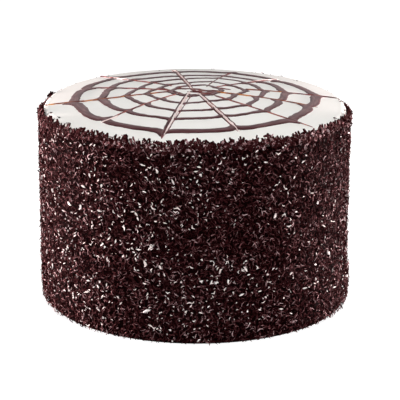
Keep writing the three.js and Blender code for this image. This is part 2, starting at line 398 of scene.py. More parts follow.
# ---- The side's bed of crumbs ----
BED_DEPTH = 2.2 * MM  # bed below the coat's mean surface, for the shreds to lie on
BED_DROP = 3.2 * MM  # bed below the rim of the white top, so that only shreds show there
BED_FOLLOW = 0.75  # how far the bed's top edge follows the shreds' own
BED_FADE = 14 * MM
BED_STEPS = 420
BED_PITCH = 1.7 * MM
BED_LAP = 0.4 * MM  # how far inside the white top's edge its wall ends
BED_WALL = 5.2 * MM  # it is rough no deeper than this
BED_FOOT = 0.1 * MM  # and no lower than this
BED_GRAINS = [(2.4 * MM, 0.55 * MM), (1.3 * MM, 0.3 * MM)]


def make_crumb_bed():
    """The whole cake below its white top: the body of the coat, rough with fine crumbs."""
    top = RIM - BED_DROP
    rows = int(top / BED_PITCH)
    heights = [top * row / rows for row in range(rows + 1)]
    wall = [(side_radius(height) - BED_DEPTH, height) for height in heights]
    profile = [(0, 0), *wall, (CAP_EDGE - BED_LAP, SEAT), (0, SEAT)]
    bed = turned("crumb_bed", profile, BED_STEPS)
    points = points_of(bed.data)
    angle, radius = polar(points)
    height = points[:, 2]
    outer = radius > COAT_RADIUS - BED_WALL
    pushed = outer * bulge(angle, height)
    pushed += outer * (height > BED_FOOT) * roughness_at(points, BED_GRAINS)
    points[:, :2] *= (1 + pushed / np.maximum(radius, MM))[:, None]
    upper = np.clip(1 - (top - height) / BED_FADE, 0, 1) * (radius > CAP_EDGE)
    lowered = fringe_lift(math.radians(FRONT)) - fringe_lift(angle)
    points[:, 2] -= upper * lowered * BED_FOLLOW
    move_points(bed.data, points)
    finish(bed, shaded_crumb_chocolate(), "chocolate_shreds", "coated_cake")


# ---- Shapes of single shreds ----
random = np.random.default_rng(4107)  # for the whole coat, in one order of draws


def shape_of(piece, points):
    """A modelled shape as arrays (points, triangles), with the object then removed."""
    mesh = piece.data
    move_points(mesh, points)
    mesh.calc_loop_triangles()
    triangles = np.empty(len(mesh.loop_triangles) * 3, int)
    mesh.loop_triangles.foreach_get("vertices", triangles)
    found = points_of(mesh), triangles.reshape(-1, 3)
    bpy.data.objects.remove(piece)
    bpy.data.meshes.remove(mesh)
    return found


def stick(sides, cuts, ends="NGON"):
    """A straight bar along X, 1 long and 1 thick, cut across so that it can be bent."""
    shape = {"vertices": sides, "radius": 0.5, "depth": 1, "end_fill_type": ends}
    piece, _ = basic(bpy.ops.mesh.primitive_cylinder_add, rotation=(0, math.pi / 2, 0), **shape)
    bpy.ops.object.transform_apply()
    bpy.ops.object.mode_set(mode="EDIT")
    work = bmesh.from_edit_mesh(piece.data)
    for face in work.faces:
        face.select = False
    for edge in work.edges:
        edge.select = abs(edge.verts[0].co.x - edge.verts[1].co.x) > 0.5
    bmesh.update_edit_mesh(piece.data)
    bpy.ops.mesh.subdivide(number_cuts=cuts)
    bpy.ops.object.mode_set(mode="OBJECT")
    return piece


def bar(length, width, depth, curl, lift, sides, cuts, taper=0.55):
    """A bar along X, tapered at its ends, curled about Z and lifted at one end like a spring."""
    piece = stick(sides, cuts)
    points = points_of(piece.data)
    along = points[:, 0].copy()
    thin = 1 - taper * (2 * along) ** 2
    turn = along * curl
    reach = length / curl + points[:, 1] * width * thin
    points[:, 0] = reach * np.sin(turn)
    points[:, 1] = reach * np.cos(turn) - length / curl
    points[:, 2] = points[:, 2] * depth * thin + lift * (along + 0.5)
    points[:, :2] -= points[:, :2].mean(axis=0)
    return shape_of(piece, points)


def bars(count, lengths, width, depth, curls, sides, cuts, lifts=None, taper=0.55):
    """Bars of one kind, in mm, each with its own length, curl in radians and lift."""
    made = []
    for _ in range(count):
        length = random.uniform(*lengths) * MM
        curl = random.uniform(*curls)
        lift = random.uniform(*lifts) * MM if lifts else 0
        made.append(bar(length, width * MM, depth * MM, curl, lift, sides, cuts, taper))
    return made


PLATE_WIDEST = 1.15
PLATE_TILT = 0.25


def plate(length, width, depth, sides, uneven=0.55):
    """An irregular flat flake."""
    piece, points = basic(bpy.ops.mesh.primitive_cylinder_add, vertices=sides, radius=0.5, depth=1)
    corner = np.round(polar(points)[0] / FULL_TURN * sides).astype(int) % sides
    points *= [length, width, depth]
    points[:, :2] *= random.uniform(PLATE_WIDEST - uneven, PLATE_WIDEST, sides)[corner][:, None]
    points[:, 2] += points[:, 0] * random.uniform(-PLATE_TILT, PLATE_TILT)
    return shape_of(piece, points)


LUMP_UNEVEN = 0.4
CHIP_UNEVEN = 0.22


def lump(size):
    """An irregular blob."""
    piece, points = basic(bpy.ops.mesh.primitive_ico_sphere_add, subdivisions=1, radius=0.5)
    points *= random.uniform(1 - LUMP_UNEVEN, 1 + LUMP_UNEVEN, (len(points), 1)) * np.array(size)
    return shape_of(piece, points)


def chip(size):
    """A broken crumb with flat sides."""
    piece, points = basic(bpy.ops.mesh.primitive_cube_add, size=1)
    points = (points + random.uniform(-CHIP_UNEVEN, CHIP_UNEVEN, points.shape)) * np.array(size)
    return shape_of(piece, points)


# ---- Scattering ----
def frames_at(angle, tipped):
    """For each place: the ways round the cake, up, and out, the last tipped up by an angle."""
    tipped = np.broadcast_to(tipped, angle.shape)[:, None]
    radial, round_ = spots(angle, 1, 0), spots(angle + math.pi / 2, 1, 0)
    up = np.array([0, 0, 1])
    normal = radial * np.cos(tipped) + up * np.sin(tipped)
    third = -radial * np.sin(tipped) + up * np.cos(tipped)
    return np.stack([round_, third, normal], 2)


def turns(yaw, pitch, roll):
    """Rotation matrices: rolled about X, pitched about Y, then yawed about Z."""
    whole = np.eye(3)
    for angle, one, other in ((yaw, 0, 1), (pitch, 2, 0), (roll, 1, 2)):
        made = np.tile(np.eye(3), (len(angle), 1, 1))
        made[:, one, one] = made[:, other, other] = np.cos(angle)
        made[:, other, one] = np.sin(angle)
        made[:, one, other] = -made[:, other, one]
        whole = whole @ made
    return whole


FACE_PAINTED_LIGHT = 0.26  # painted light: how much paler a shred's outward faces are than its underside
TONE_WIDTH = 0.006  # how wide a shred is on the tone map
TONE_LIMITS = (0.02, 0.97)
TONE_START, TONE_SPAN = 0.12, 0.76  # where the darkest tone lies on the map, and how far they run
LENGTH_START, LENGTH_SPAN = 0.05, 0.9  # and the same along a shred
LOWEST = 0.15 * MM  # shreds at the foot are pressed flat, no lower than this


def joined(name, shapes, places, axes, scales, tones):
    """One mesh of many copies. Each copy is one of the shapes, drawn at random."""
    pick = random.integers(0, len(shapes), len(places))
    tones = TONE_START + TONE_SPAN * np.clip(tones, *TONE_LIMITS)
    parts, start = [], 0
    for number, (points, triangles) in enumerate(shapes):
        chosen = np.flatnonzero(pick == number)
        spread = np.einsum("nij,kj->nki", axes[chosen], points) * scales[chosen, None, None]
        spread += places[chosen, None, :]
        spread[..., 2] = np.maximum(spread[..., 2], LOWEST)
        offsets = start + np.arange(len(chosen)) * len(points)
        linked = triangles[None] + offsets[:, None, None]
        along = (points[:, 0] - points[:, 0].min()) / np.ptp(points[:, 0])
        corners = points[triangles]
        facing = np.cross(corners[:, 1] - corners[:, 0], corners[:, 2] - corners[:, 0])
        facing = facing[:, 2] / np.linalg.norm(facing, axis=1)
        # painted light: faces turned outwards lie paler on the tone map, faces turned inwards
        # darker
        across = FACE_PAINTED_LIGHT * facing[:, None] + np.arange(3) * TONE_WIDTH
        across = tones[chosen, None, None] + across
        lengthwise = LENGTH_START + LENGTH_SPAN * along[triangles]
        uv = np.stack(np.broadcast_arrays(across, lengthwise), -1)
        parts.append((spread.reshape(-1, 3), linked.reshape(-1, 3), uv.reshape(-1, 2)))
        start += len(chosen) * len(points)
    mesh = bpy.data.meshes.new(name)
    points, triangles, uvs = [np.concatenate(part) for part in zip(*parts)]
    mesh.from_pydata(points.tolist(), [], triangles.tolist())
    layer = mesh.uv_layers.new(name=TONE_MAP)
    layer.uv.foreach_set("vector", uvs.ravel().astype(np.float32))
    piece = bpy.data.objects.new(name, mesh)
    bpy.context.scene.collection.objects.link(piece)
    return piece


def side_places(count, low, high):
    """Places spread evenly over the side: angle and height of each."""
    columns = round(math.sqrt(count * FULL_TURN * COAT_RADIUS / (high - low)))
    rows = math.ceil(count / columns)
    index = np.arange(columns * rows)
    column, row = index % columns, index // columns
    jitter = random.uniform(-0.5, 0.5, (2, len(index)))
    angle = (column + (row % 2) / 2 + jitter[0]) / columns * FULL_TURN
    height = low + (high - low) * (row + 0.5 + jitter[1]) / rows
    return angle, height


def on_side(angle, height, out):
    """Points at a distance out from the coat's mean surface."""
    return spots(angle, side_radius(height) + bulge(angle, height) + out, height)


# ---- Flecks of cream between the shreds ----
# How many there are of each kind, and their sizes in mm.
FLECK_SIZES = [(1900, (0.8, 1.2)), (1500, (1.2, 1.8)), (500, (1.8, 2.9))]
FLECK_LOW, FLECK_HIGH = 1.5 * MM, RIM - 3 * MM
# Short rows of flecks, most of them low down: how many, the flecks' sizes in mm, the longest step
# between two of them round and up, how far each lies off the row, and the lowest height.
ROWS = 70
ROW_SIZES = (1.0, 2.0)
ROW_STEP, ROW_RISE = 2.2 * MM, 1.8 * MM
ROW_JITTER = 0.6 * MM
ROW_LOW = 2 * MM
# Where the coat lies thickest and few flecks show: angle and spread in degrees, share hidden.
BARE = [(-38, 34, 0.84), (184, 36, 0.7), (90, 60, 0.5)]
BARE_FOOT, FOOT_SHARE = 13 * MM, 0.78  # it lies thicker at the foot too
# Larger places without flecks: how many to a radian, how high, and the noise that they lie below.
DRIFT_ROUND, DRIFT_HEIGHT, DRIFT_LIMIT = 3, 30 * MM, -0.25
FLECK_OUT = (-0.4, 0.5)  # how far out in mm a fleck lies at the cake's sides
FRONT_OUT = 1.2  # and how much farther in front and at the back


def fleck_places():
    """Places and sizes of the flecks: even over the side, with short rows low down."""
    groups = []
    for count, sizes in FLECK_SIZES:
        angle, height = side_places(count, FLECK_LOW, FLECK_HIGH)
        groups.append((angle, height, random.uniform(*sizes, len(angle)) * MM))
    for _ in range(ROWS):
        middle = random.uniform(0, FULL_TURN)
        base = RIM * random.beta(0.9, 2.2)
        count = random.integers(3, 8)
        run = random.uniform(-1, 1) * ROW_STEP
        rise = random.uniform(-1, 1) * ROW_RISE
        steps = np.arange(count)
        angle = middle + (steps * run + random.normal(0, ROW_JITTER, count)) / COAT_RADIUS
        height = np.clip(base + steps * rise, ROW_LOW, FLECK_HIGH)
        groups.append((angle, height, random.uniform(*ROW_SIZES, count) * MM))
    angle, height, size = [np.concatenate(part) for part in zip(*groups)]
    bare = FOOT_SHARE * np.exp(-((height / BARE_FOOT) ** 2))
    for degrees, spread, share in BARE:
        bare += share * bell(angle, degrees, spread)
    drift = noise_at(spots(angle, DRIFT_ROUND, height / DRIFT_HEIGHT))
    kept = (drift > DRIFT_LIMIT) & (random.uniform(0, 1, len(angle)) > bare)
    return angle[kept], height[kept], size[kept]


def make_cream_flecks():
    """Cream that shows in gaps between the shreds: angular scraps and thin bent wisps. Returns a
    tree of their places, and their sizes."""
    angle, height, size = fleck_places()
    scraps = [
        plate(random.uniform(1.3, 1.8), random.uniform(0.45, 0.8), 0.45, sides, 0.75)
        for sides in (3, 3, 3, 3, 4, 4, 4, 5)
    ]
    slivers = [
        plate(random.uniform(1.6, 2.3), random.uniform(0.35, 0.55), 0.4, 4, 0.5)
        for _ in range(3)
    ]
    wisps = [bar(1.7, 0.45, 0.4, random.uniform(1.2, 3.2), 0, 4, 1) for _ in range(6)]
    out = random.uniform(*FLECK_OUT, len(angle)) + FRONT_OUT * np.sin(angle) ** 2
    places = on_side(angle, height, out * MM)
    count = len(angle)
    yaw = random.uniform(0, FULL_TURN, count)
    pitch, roll = random.normal(0, 0.2, count), random.normal(0, 0.3, count)
    axes = frames_at(angle, 0) @ turns(yaw, pitch, roll)
    tones = random.uniform(0, 1, count)
    shapes = scraps + slivers + wisps
    flecks = joined("cream_flecks", shapes, places, axes, size, tones)
    cream = set_cream("cream, between shreds", "#fff8f6", "#f0e0dd", 6 * MM, 0.5)
    finish(flecks, cream, "white_cream", smooth=False)
    tree = kdtree.KDTree(count)
    for index, place in enumerate(places):
        tree.insert(place, index)
    tree.balance()
    return tree, size


# ---- Shreds, curls, flakes and crumbs ----
def clear_of(flecks, places, room):
    """Which places keep off the middles of the flecks of cream."""
    tree, size = flecks
    found = [tree.find(place) for place in places]
    return np.array([distance > size[nearest] / 2 + room for _, nearest, distance in found])


ROLL_SHARE = 1.6  # shreds roll about their length this much more than they tilt


def lay(name, shapes, angle, places, tones, steep, sizes, material, tipped=0, yaw=None):
    """Lays copies of the shapes at the places, as one piece. Each is turned its own way, or by yaw
    from the way round the cake, tipped up by tipped, and tilted at random by about steep."""
    count = len(angle)
    if yaw is None:
        yaw = random.uniform(0, FULL_TURN, count)
    pitch = random.normal(0, steep, count)
    roll = random.normal(0, steep * ROLL_SHARE, count)
    axes = frames_at(angle, tipped) @ turns(yaw, pitch, roll)
    piece = joined(name, shapes, places, axes, random.uniform(*sizes, count), tones)
    finish(piece, material, "chocolate_shreds", smooth=False)


COAT_LOW, COAT_HIGH = 0.9 * MM, RIM - 0.5 * MM
EDGE_REACH = 8 * MM  # how far below the rim shreds follow the coat's uneven top edge
CLUMP = 9 * MM  # how far apart the coat's clumps and hollows are
CLUMP_RISE = 0.9  # how far in mm a clump stands out
# Painted shade: shreds that lie deeper in the coat, or in its hollows, get darker tones than those
# farther out or on clumps.
HOLLOW_PAINTED_SHADE, DEPTH_PAINTED_SHADE = 0.15, 0.28
SHRED_SIZES = (0.75, 1.25)


def scatter(name, shapes, count, out, flecks, room, steep, material):
    """Covers the side with copies of the shapes, between two distances out from its mean surface,
    with room round the flecks, all in mm."""
    angle, height = side_places(count, COAT_LOW, COAT_HIGH)
    near_top = np.clip((height - (RIM - EDGE_REACH)) / EDGE_REACH, 0, 1)
    height = height + near_top * fringe_lift(angle)
    depth = random.uniform(0, 1, len(angle))
    clumps = noise_at(on_side(angle, height, 0) / CLUMP)
    places = on_side(angle, height, (out[0] + (out[1] - out[0]) * depth + clumps * CLUMP_RISE) * MM)
    kept = clear_of(flecks, places, room * MM)
    angle, places, depth, clumps = angle[kept], places[kept], depth[kept], clumps[kept]
    tones = random.beta(0.5, 1.15, len(angle)) * 0.7 - 0.02
    # painted shade: the deeper a shred lies, or the lower in a hollow, the darker its tone
    tones += depth**2 * DEPTH_PAINTED_SHADE + clumps * HOLLOW_PAINTED_SHADE
    lay(name, shapes, angle, places, tones, steep, SHRED_SIZES, material)


FRINGE_COUNT = 3200
FRINGE_DROP = 1.7 * MM  # its highest shreds' middles lie this far below the ragged edge
FRINGE_DEPTH = 4.6 * MM  # and its lowest this much lower still
FRINGE_OUT = 0.2 * MM
FRINGE_LEAN = 2.4 * MM  # how far it leans in over the shoulder
# How unevenly the top edge stands: clumps or dips to a radian, a seed, and their height.
RAGGED = [(9, 0.3, 2.3 * MM), (34, 0.7, 3.2 * MM)]
COMB_COUNT = 620
COMB_RAGGED = 0.8
# Loose shreds on the white top's shoulder: angle in degrees, how far in from its edge and how far
# the group spreads, both in mm, and how many lie there.
LOOSE = [
    (174, 0.2, 5, 6), (164, 0.4, 5, 16), (159, 0.2, 3, 6), (4, 1.4, 8, 18),
    (197, 3, 0.8, 4), (205, 4.2, 0.9, 5), (214, 3.4, 1.6, 4), (41, 8.5, 2.4, 6),
    (106, 8, 0.5, 2), (338, 3.2, 1.4, 4), (60, 3, 6, 6), (128, 1, 5, 6),
]
STRAYS = 60  # and as many more, anywhere near its edge


def shoulder_height(radius):
    """Surface of the white top, with its rounded edge."""
    beyond = np.maximum(radius - (CAP_EDGE - SHOULDER), 0)
    rounded = SHOULDER_HEIGHT + np.sqrt(np.maximum(SHOULDER**2 - beyond**2, 0))
    return np.minimum(dome_height(radius), rounded)


def make_strays(shapes, material):
    """Loose shreds that fell on the shoulder of the white top."""
    angles, inwards = [random.uniform(0, FULL_TURN, STRAYS)], [random.uniform(-0.2, 2.0, STRAYS)]
    for degrees, inward, spread, count in LOOSE:
        angles.append(math.radians(degrees) + random.normal(0, spread / 2, count) * MM / CAP_EDGE)
        inwards.append(inward + random.normal(0, spread / 4, count))
    angle, inward = np.concatenate(angles), np.concatenate(inwards)
    radius = CAP_EDGE - inward * MM
    height = shoulder_height(radius) + random.uniform(0.2, 0.8, len(angle)) * MM
    places = spots(angle, radius, height)
    tones = random.beta(1.2, 4.0, len(angle))
    lay("chocolate_strays", shapes, angle, places, tones, 0.2, (0.5, 0.95), material, 1.2)


def raggedness(angle):
    """How unevenly the top edge stands: broad clumps, with small dips in them."""
    return sum(height * noise_at(spots(angle, 1, seed) * grain) for grain, seed, height in RAGGED)


def make_fringe(shapes, material):
    """The ragged top edge, where chunky curls stand up and lean over the white top's shoulder."""
    count = FRINGE_COUNT
    angle = (np.arange(count) + random.uniform(-2, 2, count)) / count * FULL_TURN
    upper = random.beta(1.1, 1.5, count)
    top = fringe_lift(angle) + raggedness(angle) - FRINGE_DROP
    height = RIM + top - FRINGE_DEPTH * (1 - upper)
    radius = COAT_RADIUS + FRINGE_OUT - FRINGE_LEAN * random.uniform(0, 1, count) * upper
    places = spots(angle, radius, height)
    tones = random.beta(0.6, 1.3, count) * 1.05 - 0.05
    tipped = upper * random.uniform(0, 1.2, count)
    lay("chocolate_fringe", shapes, angle, places, tones, 0.5, (0.6, 1.2), material, tipped)


def make_comb(shapes, material):
    """Short shreds that stand up one by one from the ragged top edge."""
    count = COMB_COUNT
    angle = (np.arange(count) + random.uniform(-0.8, 0.8, count)) / count * FULL_TURN
    lift = fringe_lift(angle) + COMB_RAGGED * raggedness(angle)
    height = RIM + lift + random.uniform(-2.8, 0.6, count) * MM
    radius = COAT_RADIUS + random.uniform(-1.6, 0.4, count) * MM
    places = spots(angle, radius, height)
    tones = random.beta(0.7, 1.8, count) * 0.85 - 0.05
    tipped = random.uniform(0, 0.5, count)
    yaw = random.normal(math.pi / 2, 0.55, count)
    sizes = (0.7, 1.2)
    lay("chocolate_comb", shapes, angle, places, tones, 0.3, sizes, material, tipped, yaw)


def make_coat():
    """The coat: its bed, the flecks of cream, and every kind of shred."""
    make_crumb_bed()
    flecks = make_cream_flecks()
    chocolate = grated_chocolate()
    shreds = bars(10, (2.0, 3.4), 0.8, 0.8, (0.2, 1.1), 3, 1)
    shavings = bars(10, (2.4, 4.4), 0.58, 0.6, (0.3, 1.5), 3, 1)
    curls = bars(8, (2.8, 4.8), 0.68, 0.62, (0.8, 3.0), 3, 3, lifts=(0.3, 1.2))
    flakes = [
        plate(random.uniform(1.8, 3.4) * MM, random.uniform(1.2, 2.2) * MM, 0.4 * MM, 5)
        for _ in range(8)
    ]
    chunks = [
        lump(np.array([random.uniform(3.0, 4.6), random.uniform(1.9, 2.9), 2.0]) * MM)
        for _ in range(10)
    ]
    chunks += bars(10, (3.4, 5.4), 1.4, 1.2, (0.6, 2.6), 4, 2, lifts=(0, 0.8))
    twigs = bars(8, (2.8, 4.0), 1.8, 1.5, (0.2, 1.4), 4, 2, taper=0.3)
    chips = [chip(np.array([1.3, 0.9, 0.7]) * MM) for _ in range(6)]
    # The kinds on the side: how many, how far out and how far from the flecks in mm, how steep.
    kinds = [
        ("chocolate_crumbs", chips, 5200, (-1.8, -0.5), -0.1, 0.25),
        ("chocolate_flakes", flakes, 4200, (-1.3, -0.1), 0.2, 0.35),
        ("chocolate_shreds", shreds, 13800, (-1.0, 0.8), 0.3, 0.35),
        ("chocolate_shavings", shavings, 13800, (-0.7, 1.1), 0.4, 0.3),
        ("chocolate_curls", curls, 4200, (-0.3, 1.0), 0.6, 0.3),
    ]
    for name, shapes, count, out, room, steep in kinds:
        scatter(name, shapes, count, out, flecks, room, steep, chocolate)
    make_fringe(chunks, chocolate)
    make_comb(twigs, chocolate)
    make_strays(shreds, chocolate)


# ---- The white top ----
CAP_STEPS = 256
SHOULDER_STEPS = 10
DOME_STEPS = 61
KNIFE_WAVES = [(38 * MM, 0.35 * MM)]


def make_cap():
    """The domed cream top, with its edge rounded off by the palette knife."""
    profile = [(0, SEAT), (CAP_EDGE, SEAT), (CAP_EDGE, SHOULDER_HEIGHT)]
    for step in range(1, SHOULDER_STEPS + 1):
        turn = step / SHOULDER_STEPS * math.pi / 2
        radius = CAP_EDGE - (1 - math.cos(turn)) * SHOULDER
        profile.append((radius, SHOULDER_HEIGHT + math.sin(turn) * SHOULDER))
    for step in range(1, DOME_STEPS + 1):
        radius = (CAP_EDGE - SHOULDER) * (1 - step / DOME_STEPS)
        profile.append((radius, dome_height(radius)))
    cap = turned("white_top", profile, CAP_STEPS)
    points = points_of(cap.data)
    top = points[:, 2] > SHOULDER_HEIGHT
    points[:, 2] += top * roughness_at(points, KNIFE_WAVES)
    move_points(cap.data, points)
    icing = set_cream("cream icing, smoothed", "#f0eeea", "#eae7e2", 45 * MM, 0.4)
    finish(cap, icing, "white_cream", "cream_top")


# ---- The web ----
RING_RADII = [16.4, 30.4, 46.1, 62.3, 83.6]
RING_WIDTHS = [2.6, 3.4, 3.6, 5.0, 7.6]
# How far each ring is out of true: it bulges once round, by a share of its radius towards an angle
# in degrees, and it is drawn out both ways along a second angle, by another share.
RING_WANDER = [
    (0.167, 79, 0.093, 29),
    (0.037, 351, 0.095, 37),
    (0.045, 326, 0.049, 42),
    (0.036, 259, 0.038, 25),
    (0.036, 256, 0.016, 27),
]
# Where a ring leaves that line: at an angle, over a spread, both in degrees, by how many mm.
RING_NUDGES = [
    [],
    [(182, 18, 2.6), (12, 12, 2.0)],
    [(45, 18, 2.2), (188, 14, 2.0)],
    [(35, 18, 3.6), (148, 20, 4.6)],
    [(10, 20, 3.0), (150, 20, 3.4), (198, 11, -2.3)],
]
RING_SWELL = [0.1, 0.12, 0.2, 0.28, 0.02]  # how much wider a ring is at its sides than in front
SWELL_FROM = 275  # degrees
RING_BREAK = [1.25, 0.3, 0.25, 0.2, 0.15]  # how unevenly each ring's width was piped
PIPED_GRAIN = 5 * MM
RING_SPIKES = [2.0, 3.6, 5.0, 6.0, 7.8]  # how far a line draws each ring's edge out to a point
SPIKE_WIDTH = 2.8 * MM
OTHER_EDGE = 0.35  # the share of that by which the ring's other edge follows
RING_RAGS = [(4.1 * MM, 0.55 * MM), (1.9 * MM, 0.4 * MM)]
# A ring's cross section: shares of its width, and of the web's height there.
BAND_ACROSS = np.array([0, 0.06, 0.2, 0.5, 0.8, 0.94, 1.0])
BAND_RISE = np.array([-0.15, 0.55, 0.95, 1.0, 0.95, 0.55, -0.15])
BAND_ROOT = 0.4 * MM
# A ring's stations: how many even ones, from which angle in radians, and how far in mm others
# stand from each dragged line.
EVEN_STATIONS, FIRST_STATION = 124, 0.001
LINE_STATIONS = [-5, -3.2, -2, -1.2, -0.6, 0, 0.6, 1.2, 2, 3.2, 5]
# The twelve lines that a point was drawn along, out and in by turns: angles in degrees.
OUT, IN = 1, -1
LINE_ANGLES = [9, 40, 70, 101, 133, 162, 188, 223, 256, 289, 320, 346]
LINES = list(zip(LINE_ANGLES, [OUT, IN] * 6))
# What the drawn lines left behind: three places (x, y) in mm along each, its width in mm at its
# start and end, and what it is: a brown smear, a thin amber one, dark glaze drawn along, or a pale
# ridge of cream.
SMEAR, AMBER, DARK, RIDGE = "smears", "ambers", "edges", "ridges"
TRAILS = [
    (-3.9, -1.8, -11.8, -48.5, -21.6, -98, 2.5, 1.6, RIDGE),
    (-5.6, -6, -13.8, -49, -22.4, -98, 0.7, 1.4, DARK),
    (-16.2, -60, -19.8, -79, -22, -97.5, 0.8, 3.2, DARK),
    (-2.1, -9, -10.2, -50, -20.8, -95, 0.6, 0.6, SMEAR),
    (1.8, -5.3, 15.3, -45.5, 30.2, -84.5, 1.5, 2, RIDGE),
    (4.4, -8, 17.4, -47, 31.2, -82, 0.5, 0.9, SMEAR),
    (2.6, -10, 14, -47, 29, -84, 0.4, 0.8, SMEAR),
    (13.8, -11.2, 45.5, -39.9, 80.8, -64, 1.2, 1.3, SMEAR),
    (14.6, -1.2, 47.1, -10, 86.6, -18.8, 1.4, 1.5, AMBER),
    (36, 10.5, 50, 10.8, 66, 11.4, 1.2, 1.2, AMBER),
    (62, 11, 84, 13.4, 104.3, 17, 1.4, 1.6, SMEAR),
    (14, 12.4, 38, 34, 56, 53, 1, 1.3, SMEAR),
    (40, 37, 50, 47.5, 62, 61, 0.6, 0.8, RIDGE),
    (8.1, 13.5, 18.1, 48, 29.3, 84, 0.9, 1.2, SMEAR),
    (-2.6, 9.6, -9.9, 50, -16.4, 95, 1.1, 1.1, RIDGE),
    (-1.7, 9.6, -8.8, 50, -15, 92, 0.8, 0.8, SMEAR),
    (-3.7, 9.6, -11.2, 50, -17.6, 92, 0.5, 0.5, SMEAR),
    (-16.7, 16.9, -38.7, 36, -55, 53.5, 0.8, 1, SMEAR),
    (-50, 48.5, -56, 54.5, -62, 61, 0.4, 0.6, RIDGE),
    (-60, 61, -66, 69.5, -72, 82, 1.8, 2.6, SMEAR),
    (-16.8, 2.5, -47.8, 14.5, -79, 29.2, 1, 1.5, SMEAR),
    (-15.9, -0.5, -56.4, -9.9, -84, -10.6, 1.2, 1.7, AMBER),
    (-78, -11, -90, -9.8, -106.5, -8, 2.4, 2, AMBER),
    (-13, -8, -36.9, -33.2, -60, -59, 1.2, 1.5, SMEAR),
    (-53, -53.5, -58.6, -59.2, -64.5, -63.5, 1.2, 1.8, RIDGE),
]
TRAIL_STEPS = 47
TRAIL_GRAIN = 4  # how far apart in mm a drawn line's thick and thin places are
TRAIL_UNEVEN, TRAIL_WAVER = 0.9, 0.3  # how much they differ, and how far in mm it wavers
# The shares of its length over which it thins to a point at its end, and swells at its start.
TRAIL_POINT, TRAIL_START = 0.16, 0.04
# Strokes of glaze at the middle: their two ends (x, y) and width, in mm.
HUB_STROKES = [
    (-19, 3.4, -12.1, -4.4, 3),
    (-12.5, -3.9, -6.4, -12.1, 3.2),
    (-14.7, 6.9, -3, 7, 3),
    (-2.6, 7, 7, 3.2, 3.8),
    (1.5, 1, 17.7, 2.5, 3.6),
    (-3.5, -1.5, 6.5, -2.6, 3),
    (3, -4.6, 11.5, -6.2, 2.6),
    (7.9, -3.6, 14.9, -4, 7),
    (-2.8, 4.7, 1.3, -0.9, 2.6),
    (-4.4, -10.7, 3.2, -10.6, 3.6),
    (4.3, -8.8, 8.8, -5, 3.4),
    (-2.2, 16.1, 6.6, 18.7, 2.4),
    (-12.7, 8.8, -8.4, 15.7, 2.2),
    (11.2, 12.4, 24.4, 8, 2),
    (-25, 9, -18.6, 5.3, 1.6),
    (-6.6, -8.1, -4.3, -10.7, 2.2),
]
HUB_ROUGH, HUB_GRAIN = 0.6, 3.5  # how lumpy a stroke is, and how many lumps it has
HUB_OVERLAP = 1.15  # how much longer it is than the way between its ends
HUB_BEND, HUB_WAVE = 0.12, 1.3  # it winds by this share of its width, at this pitch


def ring_radius(ring, angle):
    """A ring's middle radius in metres, a little out of true, as piped by hand."""
    once, once_at, twice, twice_at = RING_WANDER[ring]
    aside = once * np.cos(turn_from(angle, once_at))
    drawn = twice * np.cos(2 * turn_from(angle, twice_at))
    radius = RING_RADII[ring] * (1 + aside + drawn)
    for degrees, spread, shift in RING_NUDGES[ring]:
        radius = radius + shift * bell(angle, degrees, spread)
    return radius * MM


def drawn_edge(angle, radius, ring, side):
    """How far the dragged lines move a ring's OUT or IN side at an angle."""
    moved = np.zeros_like(angle)
    for degrees, way in LINES:
        away = np.abs(turn_from(angle, degrees)) * radius
        share = 1 if way == side else OTHER_EDGE
        moved += way * share * RING_SPIKES[ring] * MM * np.exp(-away / SPIKE_WIDTH)
    return moved


def stations(radius):
    """Angles round a ring, closer together beside the dragged lines."""
    even = np.arange(EVEN_STATIONS) / EVEN_STATIONS * FULL_TURN + FIRST_STATION
    close = np.array(LINE_STATIONS) * MM / radius
    extra = [(math.radians(degrees) + close) % FULL_TURN for degrees, _ in LINES]
    return np.unique(np.concatenate([even, *extra]).round(5))


def lay_band_map(mesh, across, spread):
    """Maps a ring so that its material knows how far across the band each place is, and how much
    painted sheen it gets: most at the cake's left and right sides, none in front and at the back."""
    layer = mesh.uv_layers.new(name=BAND_MAP)
    mesh.uv_layers.active = layer
    corners = np.empty(len(mesh.loops), int)
    mesh.loops.foreach_get("vertex_index", corners)
    row, place = np.divmod(corners, len(across))
    places = np.stack([np.array(across)[place], spread[row]], 1)
    layer.uv.foreach_set("vector", places.ravel().astype(np.float32))


def ragged_edges(mesh):
    """Makes a ring's outline a little ragged, as set glaze is where the point has drawn it."""
    points = points_of(mesh)
    _, radius = polar(points)
    points[:, :2] *= (1 + roughness_at(points, RING_RAGS) / radius)[:, None]
    move_points(mesh, points)


